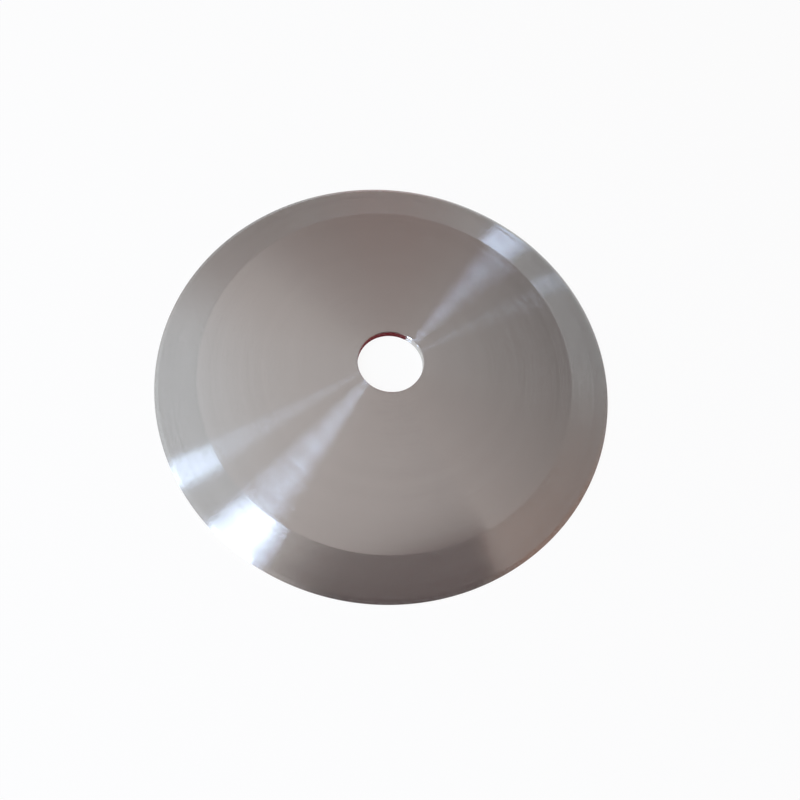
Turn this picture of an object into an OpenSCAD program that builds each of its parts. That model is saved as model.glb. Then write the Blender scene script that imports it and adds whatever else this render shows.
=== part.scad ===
// Circular slitter knife: a flat steel disc with a plain shaft bore, ground to a bevel on both sides
// and honed to a keen edge at mid thickness. It lies flat, with its axis along +Z and its origin at the
// centre of the bore on the lower face. All sizes are in millimetres.

/* [Disc] */
// Diameter over the cutting edge
knife_d = 150; // [110:1:250]
// Thickness between the two flat faces
knife_t = 3; // [2:0.1:6]

/* [Bore] */
// Diameter of the shaft bore
bore_d = 22; // [12:0.1:50]
// Chamfer at each mouth of the bore, measured along the face and down the wall
bore_chamfer = 0.2; // [0.1:0.05:0.5]

/* [Ground bevel] */
// Radial width of the bevel on each side, from the flat face to the honed edge
bevel_w = 11.8; // [5:0.1:20]
// Thickness that the two bevels leave where the honed edge begins
bevel_foot_t = 1; // [0.4:0.05:1.8]

/* [Honed edge] */
// Radial width of the honed edge on each side, from the bevel out to the tip
hone_w = 1.3; // [0.5:0.1:2.5]

/* [Hidden] */

$fn = 180;
tip_r = knife_d / 2;
bevel_foot_r = tip_r - hone_w;
face_r = bevel_foot_r - bevel_w;
bore_r = bore_d / 2;
mouth_r = bore_r + bore_chamfer;
mid_z = knife_t / 2;
bevel_depth = (knife_t - bevel_foot_t) / 2;

// Half section of the knife: x is the distance from the axis, y the height above the lower face.
// It runs from the bore's lower mouth out to the tip along the lower side, and back along the upper.
module section() {
    polygon([
        [bore_r, bore_chamfer],
        [mouth_r, 0],
        [face_r, 0],
        [bevel_foot_r, bevel_depth],
        [tip_r, mid_z],
        [bevel_foot_r, knife_t - bevel_depth],
        [face_r, knife_t],
        [mouth_r, knife_t],
        [bore_r, knife_t - bore_chamfer],
    ]);
}

// The knife: one ground disc of tool steel
module knife() {
    color("silver")
    rotate_extrude()
    section();
}

knife();
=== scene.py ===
# %% [markdown]
# # A circular slitter knife
# The knife is one steel disc: turned, hardened, ground flat on both faces, ground again to a long
# bevel on each side, and honed at the rim. This lesson gives it its looks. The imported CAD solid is
# loaded first and stays the measure of every size, so nothing here has to be fitted by eye.

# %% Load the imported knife
from itertools import accumulate
from math import atan2, cos, pi, radians, sin, tau

import bmesh
import bpy
from mathutils import Matrix, Vector


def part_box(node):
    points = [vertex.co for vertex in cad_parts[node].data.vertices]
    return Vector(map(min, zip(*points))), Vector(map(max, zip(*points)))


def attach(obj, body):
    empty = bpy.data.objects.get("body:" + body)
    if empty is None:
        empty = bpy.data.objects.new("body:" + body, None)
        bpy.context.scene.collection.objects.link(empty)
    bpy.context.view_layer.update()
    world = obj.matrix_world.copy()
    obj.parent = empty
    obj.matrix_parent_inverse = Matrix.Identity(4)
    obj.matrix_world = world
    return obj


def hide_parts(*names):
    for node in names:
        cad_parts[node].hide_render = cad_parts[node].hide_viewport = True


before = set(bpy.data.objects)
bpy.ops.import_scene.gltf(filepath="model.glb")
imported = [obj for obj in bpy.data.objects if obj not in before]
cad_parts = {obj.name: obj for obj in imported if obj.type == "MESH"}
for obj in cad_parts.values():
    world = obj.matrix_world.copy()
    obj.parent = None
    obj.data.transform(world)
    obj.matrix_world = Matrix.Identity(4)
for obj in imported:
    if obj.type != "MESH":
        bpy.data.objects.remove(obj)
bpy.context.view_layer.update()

MM = 0.001
CAD_NODE = "knife"
scene = bpy.context.scene

# %% [markdown]
# ## The section
# A turned part is known by its section, half of what a saw cut through the axis would show. It could
# be typed in again, but the CAD mesh already holds it: every ring of its vertices is one point of the
# section. The rings of the upper half are enough, because the knife is the same on both sides.

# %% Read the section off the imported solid


def upper_rings(node):
    """Radius and height of each ring of vertices on a turned node's upper half, bore first."""
    low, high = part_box(node)
    middle = round((low.z + high.z) / 2, 6)
    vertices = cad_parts[node].data.vertices
    rings = {(round(v.co.xy.length, 6), round(v.co.z, 6)) for v in vertices}
    return sorted(ring for ring in rings if ring[1] >= middle)


section = upper_rings(CAD_NODE)
bore_r, mouth_r, face_r = [r for r, z in section[:3]]
bevel_foot_r, tip_r = [r for r, z in section[-2:]]
face_z, mid_z = section[1][1], section[-1][1]
print("section in mm:", [(round(r / MM, 2), round(z / MM, 2)) for r, z in section])

# %% [markdown]
# ## Breaking the corners
# No real corner is perfectly sharp: a stone or a cloth takes a few hundredths of a millimetre off it,
# and that thin round is what catches a line of light. The upper half of the section is drawn as a chain
# of vertices, and a vertex bevel rounds each corner of it. Rounding the section before it is spun is
# simpler than bevelling the finished rings. The tip itself stays keen.

# %% Draw the upper half of the section and round its corners
CORNER_ROUND = 0.03 * MM
CORNER_SEGMENTS = 2
WELD = 0.0005 * MM

bm = bmesh.new()
chain = [bm.verts.new((r, 0, z)) for r, z in [(bore_r, mid_z), *section]]
for a, b in zip(chain, chain[1:]):
    bm.edges.new((a, b))

corner_radii = (bore_r, mouth_r, face_r, bevel_foot_r)
corners = [v for v in chain[1:] if round(v.co.x, 6) in corner_radii]
bmesh.ops.bevel(
    bm,
    geom=corners,
    offset=CORNER_ROUND,
    offset_type="OFFSET",
    segments=CORNER_SEGMENTS,
    profile=0.5,
    affect="VERTICES",
    material=-1,
)
print("half section:", len(bm.verts), "points,", len(corners), "corners rounded")

# %% [markdown]
# ## A ruler along the section
# The grinding marks lie in rings, so a pattern for them needs to know how far along the section a point
# is. That distance is stored on the vertices now, while they are still one line, and the spin copies it
# to every ring.

# %% Measure the way along the section
along = bm.verts.layers.float.new("along")
chain = sorted(bm.verts, key=lambda v: (round(v.co.x, 7), v.co.z))
steps = [(b.co - a.co).length for a, b in zip(chain, chain[1:])]
for vertex, reach in zip(chain, accumulate(steps, initial=0)):
    vertex[along] = reach
half_length = sum(steps)
print("from mid bore to tip:", round(half_length / MM, 2), "mm")

# %% [markdown]
# ## Spinning the disc
# The half section is mirrored to the lower side and spun once round the axis. A spin gives even quads
# that run along the grinding marks, which a boolean or the CAD's own triangles would not. Doubles are
# merged before the normals are recalculated, so that the last step closes on the first.

# %% Mirror the section and spin it
SPIN_STEPS = 360

bmesh.ops.mirror(
    bm,
    geom=bm.verts[:] + bm.edges[:],
    matrix=Matrix.Translation((0, 0, -mid_z)),
    merge_dist=WELD,
    axis="Z",
)
bmesh.ops.spin(
    bm,
    geom=bm.verts[:] + bm.edges[:],
    cent=(0, 0, 0),
    axis=(0, 0, 1),
    angle=tau,
    steps=SPIN_STEPS,
    use_merge=True,
)
bmesh.ops.remove_doubles(bm, verts=bm.verts, dist=WELD)
bmesh.ops.recalc_face_normals(bm, faces=bm.faces)
volume = bm.calc_volume() / MM**3
print("disc:", len(bm.verts), "vertices,", len(bm.faces), "faces,", round(volume), "mm3")

# %% [markdown]
# ## Smooth round, crisp across
# A lathe leaves surfaces that are smooth round the axis and meet in crisp circles. So every face is
# shaded smooth, and every edge that lies in a ring is marked sharp. Without the sharp rings the shading
# of the wide flat face would bend towards the bevel.

# %% Shade the rings crisp


def lies_in_ring(edge):
    """True for an edge that runs round the axis at one radius and height."""
    a, b = (v.co for v in edge.verts)
    return abs(a.z - b.z) < WELD and abs(a.xy.length - b.xy.length) < WELD


for face in bm.faces:
    face.smooth = True
for edge in bm.edges:
    edge.smooth = not lies_in_ring(edge)
print("sharp ring edges:", sum(not edge.smooth for edge in bm.edges))

# %% [markdown]
# ## Unrolling the surface
# A texture that follows the rings wants the skin of the disc unrolled to a strip: round the axis one
# way, along the section the other. The seam lies on the cutting edge, and the middle of the strip is the
# bore. An unwrap made by angle would cut the rings to pieces.

# %% Lay the UV map out as a strip
STRIP = "OFBake"
strip_length = 2 * half_length

uv = bm.loops.layers.uv.new(STRIP)
for face in bm.faces:
    middle = face.calc_center_median()
    side = 1 if middle.z > mid_z else -1
    turn = atan2(middle.y, middle.x) % tau
    for loop in face.loops:
        x, y, _ = loop.vert.co
        swing = (atan2(y, x) - turn + pi) % tau - pi
        loop[uv].uv = ((turn + swing) / tau, 0.5 + side * loop.vert[along] / strip_length)
print("strip:", round(tau * tip_r / MM), "mm round the tip,", round(strip_length / MM), "mm long")

# %% [markdown]
# ## One object, four finishes
# The disc is one piece of steel, so it stays one object. Its faces carry four materials, one for each
# way the surface was made: the bore, the flat faces with the small chamfers round the bore, the bevels
# and the honed edge.

# %% Make the object and mark its finishes
FINISHES = ("bore", "face", "bevel", "hone")


def finish_at(radius):
    """The place in FINISHES of the finish that the disc has at a radius."""
    return sum(radius > limit for limit in (bore_r + WELD, face_r, bevel_foot_r))


for face in bm.faces:
    face.material_index = finish_at(face.calc_center_median().xy.length)

mesh = bpy.data.meshes.new("slitter_knife")
bm.to_mesh(mesh)
bm.free()
disc = bpy.data.objects.new("slitter_knife", mesh)
scene.collection.objects.link(disc)
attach(disc, "root")
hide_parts(CAD_NODE)
counts = [sum(p.material_index == i for p in mesh.polygons) for i in range(len(FINISHES))]
print("faces by finish:", dict(zip(FINISHES, counts)))

# %% [markdown]
# ## Colours and nodes
# Colours are written as they look on a screen, in sRGB hex, and shaders want them linear. Node trees
# are built by one small function that adds a node, sets it up and links it.

# %% Two helpers for materials


def linear(hex_colour):
    """An sRGB hex colour as the linear RGBA that shader sockets take."""
    parts = [int(hex_colour[i : i + 2], 16) / 255 for i in (1, 3, 5)]
    return (*[c / 12.92 if c <= 0.04045 else ((c + 0.055) / 1.055) ** 2.4 for c in parts], 1)


def add_node(tree, kind, links=(), values=(), **settings):
    """Adds one node, with its settings, plain values for inputs, and links into inputs."""
    node = tree.nodes.new(kind)
    for name, value in settings.items():
        setattr(node, name, value)
    for name, value in dict(values).items():
        node.inputs[name].default_value = value
    for name, output in dict(links).items():
        tree.links.new(output, node.inputs[name])
    return node


# %% [markdown]
# ## Ground steel
# A wheel grinds the turning disc, so its marks are full circles round the axis. Each mark is a tiny
# groove: it mirrors sharply along its length and spreads light across it, which is why a ground disc
# shows bright wedges that meet at the middle. The wheel also crosses the disc while it turns, so a mark
# is really a flat spiral, and the wedges bend a little where the circles are small. Two things make the
# spread here:
#
# - The Principled shader's anisotropy. The tangent runs round the disc with the strip, and a quarter
#   turn of the anisotropic rotation spreads the gloss across the marks.
# - A lean for each mark. Anisotropy ends at ten to one, and real marks spread light further. So every
#   mark, a thousandth of a millimetre wide, draws a number from -1 to 1 from white noise, and an odd
#   power of it tilts the normal across the ring. The higher the power, the fewer marks lean far, as on a
#   finer wheel. A bump map would need far finer steps than a pixel to do this cleanly.

# %% Ground steel
MARK_PITCH = 0.001 * MM  # real grit marks, too fine to show one by one: the light that they spread shows
STEEPEST_MARK = 1.3  # slope of the flank of the deepest scratch
BAND_PITCH = 9 * MM  # the wheel's passes leave bands that are this far apart
STEEL_DARK, STEEL_LIGHT = "#C9C9C8", "#CDCDCC"  # bands of bare steel, nearly alike
GLOSS_DRIFT = 0.003
QUARTER_TURN = 0.25


def ground_steel(name, roughness, power, feed):
    """Steel ground in spirals, whose marks lean by a power of an even draw and wind out by feed a radian."""
    material = bpy.data.materials.new(name)
    material.use_nodes = True
    tree = material.node_tree
    tree.nodes.clear()
    strip = add_node(tree, "ShaderNodeUVMap", uv_map=STRIP)
    place = add_node(tree, "ShaderNodeSeparateXYZ", {"Vector": strip.outputs["UV"]})

    bands = add_node(
        tree,
        "ShaderNodeTexNoise",
        {"W": place.outputs["Y"]},
        {"Scale": strip_length / BAND_PITCH, "Detail": 1},
        noise_dimensions="1D",
    )
    colour = add_node(
        tree,
        "ShaderNodeMix",
        {"Factor": bands.outputs["Fac"]},
        {"A": linear(STEEL_DARK), "B": linear(STEEL_LIGHT)},
        data_type="RGBA",
    )
    gloss = add_node(
        tree,
        "ShaderNodeMapRange",
        {"Value": bands.outputs["Fac"]},
        {"To Min": roughness - GLOSS_DRIFT, "To Max": roughness + GLOSS_DRIFT},
    )

    mark = add_node(
        tree, "ShaderNodeMath", {0: place.outputs["Y"]}, {1: MARK_PITCH / strip_length}, operation="SNAP"
    )
    draw = add_node(tree, "ShaderNodeTexWhiteNoise", {"W": mark.outputs[0]}, noise_dimensions="1D")
    swing = add_node(
        tree, "ShaderNodeMapRange", {"Value": draw.outputs["Value"]}, {"To Min": -1, "To Max": 1}
    )
    rise = add_node(tree, "ShaderNodeMath", {0: swing.outputs["Result"]}, {1: power}, operation="POWER")
    lean = add_node(
        tree, "ShaderNodeMath", {0: rise.outputs[0]}, {1: STEEPEST_MARK}, operation="MULTIPLY"
    )

    surface = add_node(tree, "ShaderNodeNewGeometry")
    where = add_node(tree, "ShaderNodeTexCoord")
    level = add_node(
        tree, "ShaderNodeVectorMath", {0: where.outputs["Object"]}, {1: (1, 1, 0)}, operation="MULTIPLY"
    )
    radius = add_node(tree, "ShaderNodeVectorMath", {0: level.outputs["Vector"]}, operation="LENGTH")
    winding = add_node(
        tree, "ShaderNodeMath", {1: radius.outputs["Value"]}, {0: feed}, operation="ARCTAN2"
    )
    circle = add_node(tree, "ShaderNodeTangent", direction_type="UV_MAP", uv_map=STRIP)
    around = add_node(
        tree,
        "ShaderNodeVectorRotate",
        {
            "Vector": circle.outputs["Tangent"],
            "Axis": surface.outputs["Normal"],
            "Angle": winding.outputs[0],
        },
        rotation_type="AXIS_ANGLE",
    )
    across = add_node(
        tree,
        "ShaderNodeVectorMath",
        {0: surface.outputs["Normal"], 1: around.outputs["Vector"]},
        operation="CROSS_PRODUCT",
    )
    tilt = add_node(
        tree,
        "ShaderNodeVectorMath",
        {0: across.outputs["Vector"], "Scale": lean.outputs[0]},
        operation="SCALE",
    )
    tilted = add_node(
        tree,
        "ShaderNodeVectorMath",
        {0: surface.outputs["Normal"], 1: tilt.outputs["Vector"]},
        operation="ADD",
    )
    normal = add_node(tree, "ShaderNodeVectorMath", {0: tilted.outputs["Vector"]}, operation="NORMALIZE")
    shader = add_node(
        tree,
        "ShaderNodeBsdfPrincipled",
        {
            "Base Color": colour.outputs["Result"],
            "Roughness": gloss.outputs["Result"],
            "Normal": normal.outputs["Vector"],
            "Tangent": around.outputs["Vector"],
        },
        {"Metallic": 1, "Anisotropic": 1, "Anisotropic Rotation": QUARTER_TURN},
    )
    add_node(tree, "ShaderNodeOutputMaterial", {"Surface": shader.outputs["BSDF"]})
    return material


steels = {
    # bored with a fine feed: nearly a mirror, which shows the floor under it
    "bore": ground_steel("bored_steel", 0.16, power=5, feed=0),
    # ground flat with a fine wheel: satin, with narrow wedges of light that reach the bore
    "face": ground_steel("ground_face_steel", 0.126, power=17, feed=1.8 * MM),
    # ground with a coarser wheel: whole windows smear across it into crisp bands
    "bevel": ground_steel("ground_bevel_steel", 0.138, power=3, feed=-1 * MM),
    # honed by hand with a stone: a line of light round the rim
    "hone": ground_steel("honed_edge_steel", 0.169, power=5, feed=0),
}
for finish in FINISHES:
    mesh.materials.append(steels[finish])
print("materials:", [m.name for m in mesh.materials])

# %% [markdown]
# ## White floor
# The knife lies on plain white. A white floor under lamps comes out grey wherever light is short, so
# the floor also glows: for rays from the camera and from mirroring steel most of its light is its own,
# and the rest is lit paint, which keeps the knife's shadow. The world behind it is as white.

# %% White floor
FLOOR_HALF = 5.0
FLOOR_PAINT = "#F4F4F4"
FLOOR_GLOW = 0.93  # share of the light that is the floor's own
BACKDROP = "#FFFFFF"

scene.view_settings.view_transform = "Standard"
world = bpy.data.worlds.new("backdrop")
scene.world = world
world.use_nodes = True
world.node_tree.nodes["Background"].inputs["Color"].default_value = linear(BACKDROP)

bm = bmesh.new()
bmesh.ops.create_grid(bm, x_segments=1, y_segments=1, size=FLOOR_HALF)
floor_mesh = bpy.data.meshes.new("floor")
bm.to_mesh(floor_mesh)
bm.free()
floor = bpy.data.objects.new("floor", floor_mesh)
scene.collection.objects.link(floor)

floor_paint = bpy.data.materials.new("white_floor")
floor_paint.use_nodes = True
floor_paint.cycles.emission_sampling = "NONE"
tree = floor_paint.node_tree
tree.nodes.clear()
path = add_node(tree, "ShaderNodeLightPath")
mirrored = add_node(
    tree,
    "ShaderNodeMath",
    {0: path.outputs["Is Glossy Ray"], 1: path.outputs["Is Transmission Ray"]},
    operation="MAXIMUM",
)
seen = add_node(
    tree,
    "ShaderNodeMath",
    {0: path.outputs["Is Camera Ray"], 1: mirrored.outputs[0]},
    operation="MAXIMUM",
)
share = add_node(tree, "ShaderNodeMath", {0: seen.outputs[0]}, {1: FLOOR_GLOW}, operation="MULTIPLY")
paint = add_node(tree, "ShaderNodeBsdfDiffuse", values={"Color": linear(FLOOR_PAINT)})
glow = add_node(tree, "ShaderNodeEmission", values={"Color": linear(BACKDROP), "Strength": 1})
cover = add_node(
    tree, "ShaderNodeMixShader", {"Fac": share.outputs[0], 1: paint.outputs[0], 2: glow.outputs[0]}
)
add_node(tree, "ShaderNodeOutputMaterial", {"Surface": cover.outputs[0]})
floor_mesh.materials.append(floor_paint)
print("floor:", 2 * FLOOR_HALF, "m wide")

# %% [markdown]
# ## Light tent
# Bare steel has little colour of its own and shows what stands round it, so a studio hangs a tent with
# pale and dark panels round such a thing, out of the picture. Here the tent is a dome that the camera
# doesn't see. It is white at the foot like the floor, pale overhead, and has soft panels in between,
# each blended over the ones before it. A photographed surround would give reflections too, but panels
# can be moved one at a time while the steel is watched.

# %% Light tent
TENT_RADIUS = 3.0
TENT_TOP = "#D1C8C5"
TENT_FOOT = "#F3F3F3"
FOOT_HEIGHTS = (0.05, 0.38)  # as shares of the radius: white below the first, none above the second
# name, compass angle from +X and height of the middle, then the angles from the middle at which the
# panel has faded and is still full, and its colour
PANELS = (
    ("light wall", 182, 44, 37, 19, "#F5F8FC"),
    ("dark right", 46, 7, 80, 14, "#433838"),
    ("brown near right", 328, 18, 72, 1, "#905E42"),
    ("dark far", 116, 12, 44, 14, "#463838"),
    ("dark near", 294, 40, 39, 18, "#443838"),
    ("warm far", 100, 41, 21, 1, "#968581"),
)


def direction(compass, height):
    """Unit vector towards a compass angle from +X and a height over the horizon, both in degrees."""
    level = cos(radians(height))
    return Vector((level * cos(radians(compass)), level * sin(radians(compass)), sin(radians(height))))


bm = bmesh.new()
bmesh.ops.create_uvsphere(bm, u_segments=64, v_segments=32, radius=TENT_RADIUS)
tent_mesh = bpy.data.meshes.new("tent")
bm.to_mesh(tent_mesh)
bm.free()
tent = bpy.data.objects.new("tent", tent_mesh)
tent.visible_camera = False
scene.collection.objects.link(tent)

tent_cloth = bpy.data.materials.new("tent_cloth")
tent_cloth.use_nodes = True
tent_cloth.cycles.emission_sampling = "NONE"
tree = tent_cloth.node_tree
tree.nodes.clear()
where = add_node(tree, "ShaderNodeTexCoord")
towards = add_node(tree, "ShaderNodeVectorMath", {0: where.outputs["Object"]}, operation="NORMALIZE")
cloth = add_node(tree, "ShaderNodeEmission", values={"Color": linear(TENT_TOP), "Strength": 1})
for name, compass, height, fade, full, colour in PANELS:
    facing = add_node(
        tree,
        "ShaderNodeVectorMath",
        {0: towards.outputs["Vector"]},
        {1: direction(compass, height)},
        operation="DOT_PRODUCT",
    )
    share = add_node(
        tree,
        "ShaderNodeMapRange",
        {"Value": facing.outputs["Value"]},
        {"From Min": cos(radians(fade)), "From Max": cos(radians(full))},
        interpolation_type="SMOOTHSTEP",
    )
    panel = add_node(
        tree, "ShaderNodeEmission", values={"Color": linear(colour), "Strength": 1}, label=name
    )
    cloth = add_node(
        tree,
        "ShaderNodeMixShader",
        {"Fac": share.outputs["Result"], 1: cloth.outputs[0], 2: panel.outputs[0]},
    )
rise = add_node(tree, "ShaderNodeSeparateXYZ", {"Vector": towards.outputs["Vector"]})
above = add_node(
    tree,
    "ShaderNodeMapRange",
    {"Value": rise.outputs["Z"]},
    {"From Min": FOOT_HEIGHTS[0], "From Max": FOOT_HEIGHTS[1]},
    interpolation_type="SMOOTHSTEP",
)
foot = add_node(tree, "ShaderNodeEmission", values={"Color": linear(TENT_FOOT), "Strength": 1})
cloth = add_node(
    tree,
    "ShaderNodeMixShader",
    {"Fac": above.outputs["Result"], 1: foot.outputs[0], 2: cloth.outputs[0]},
)
add_node(tree, "ShaderNodeOutputMaterial", {"Surface": cloth.outputs[0]})
tent_mesh.materials.append(tent_cloth)
print("tent:", TENT_RADIUS, "m radius,", len(PANELS), "panels")

# %% [markdown]
# ## Windows
# Two tall windows on the near left make the bright wedges. Each is a rectangular lamp that faces the
# knife from a compass angle and a height. Its power is worked out from how bright the pane should look,
# so that a change of size leaves the look alone.

# %% Windows
WINDOW_DISTANCE = 0.8
# name, compass angle and height of the middle, turn of the long side in plan, length, width, colour and
# brightness beside white
WINDOWS = (
    ("wide_window", 234, 31, 243, 1.05, 0.152, "#C9DEFF", 10.5),
    ("slim_window", 201.5, 37, 214.5, 0.92, 0.076, "#C9DFFF", 2.4),
)

for name, compass, height, turn, length, width, colour, brightness in WINDOWS:
    facing = direction(compass, height)
    upright = direction(turn, 0)
    upright = (upright - upright.dot(facing) * facing).normalized()
    lamp = bpy.data.lights.new(name, "AREA")
    lamp.shape = "RECTANGLE"
    lamp.size, lamp.size_y = length, width
    lamp.color = linear(colour)[:3]
    lamp.energy = brightness * pi * length * width
    window = bpy.data.objects.new(name, lamp)
    axes = Matrix((upright, facing.cross(upright), facing)).transposed()
    window.matrix_world = Matrix.Translation(facing * WINDOW_DISTANCE) @ axes.to_4x4()
    window.visible_camera = False
    scene.collection.objects.link(window)
    print(name, "at", [round(x, 2) for x in facing * WINDOW_DISTANCE], "m,", round(lamp.energy, 2), "W")

# %% [markdown]
# ## Three cards
# A dark card over the near rim puts the dark stretch with a clear edge on the bevel there, a red one
# under the bore gives its far wall a dark red line, and a pink one low behind the knife warms the far
# bevel and rim. All lie nearer than the tent, where a panel would have to be blended into its white
# foot, and would slide as the eye moves along the rim. Only the steel sees them.

# %% Three cards
# name, length, width, centre, turn, colour
CARDS = (
    ("dark_card", 0.149, 0.203, (0.0645, -0.142, 0.153), 30, "#472929"),
    ("red_card", 0.0135, 0.022, (-0.00425, 0, 0.00005), 0, "#7A2A32"),
    ("pink_card", 0.2, 0.75, (-0.146, 0.685, 0.04), 12, "#E89A90"),
)

for name, length, width, centre, turn, colour in CARDS:
    bm = bmesh.new()
    bmesh.ops.create_grid(bm, x_segments=1, y_segments=1, size=0.5)
    bmesh.ops.scale(bm, verts=bm.verts, vec=(length, width, 1))
    bmesh.ops.rotate(bm, verts=bm.verts, matrix=Matrix.Rotation(radians(turn), 3, "Z"))
    bmesh.ops.translate(bm, verts=bm.verts, vec=centre)
    card_mesh = bpy.data.meshes.new(name)
    bm.to_mesh(card_mesh)
    bm.free()
    card = bpy.data.objects.new(name, card_mesh)
    card.visible_camera = card.visible_diffuse = card.visible_shadow = False
    scene.collection.objects.link(card)

    paint = bpy.data.materials.new(name)
    paint.use_nodes = True
    paint.cycles.emission_sampling = "NONE"
    tree = paint.node_tree
    tree.nodes.clear()
    shade = add_node(tree, "ShaderNodeEmission", values={"Color": linear(colour), "Strength": 1})
    add_node(tree, "ShaderNodeOutputMaterial", {"Surface": shade.outputs[0]})
    card_mesh.materials.append(paint)
    print(name, round(length / MM), "by", round(width / MM), "mm")

# %% [markdown]
# ## Camera
# The photograph was taken from close by, looking steeply down on the knife and tilted a little, which
# is why the disc is an ellipse with a slanting axis. The place was found from the outlines of the rim,
# the bevel and the bore; a longer lens from further off would not give the same three ellipses.

# %% Camera
EYE = Vector((6.22, -74.67, 152.27)) * MM
ELEVATION = radians(67.45)
ROLL = radians(14.6)
LENS = 22.55
NEAREST = 0.01  # the camera stands close by, so clipping starts closer too

backward = Vector((0, -cos(ELEVATION), sin(ELEVATION)))
level = Vector((1, 0, 0))
right = cos(ROLL) * level + sin(ROLL) * backward.cross(level)
up = backward.cross(right)
camera = bpy.data.objects.new("camera", bpy.data.cameras.new("camera"))
camera.data.lens = LENS
camera.data.clip_start = NEAREST
camera.matrix_world = Matrix.Translation(EYE) @ Matrix((right, up, backward)).transposed().to_4x4()
scene.collection.objects.link(camera)
scene.camera = camera
print("camera:", round(EYE.length / MM), "mm from the middle of the knife")
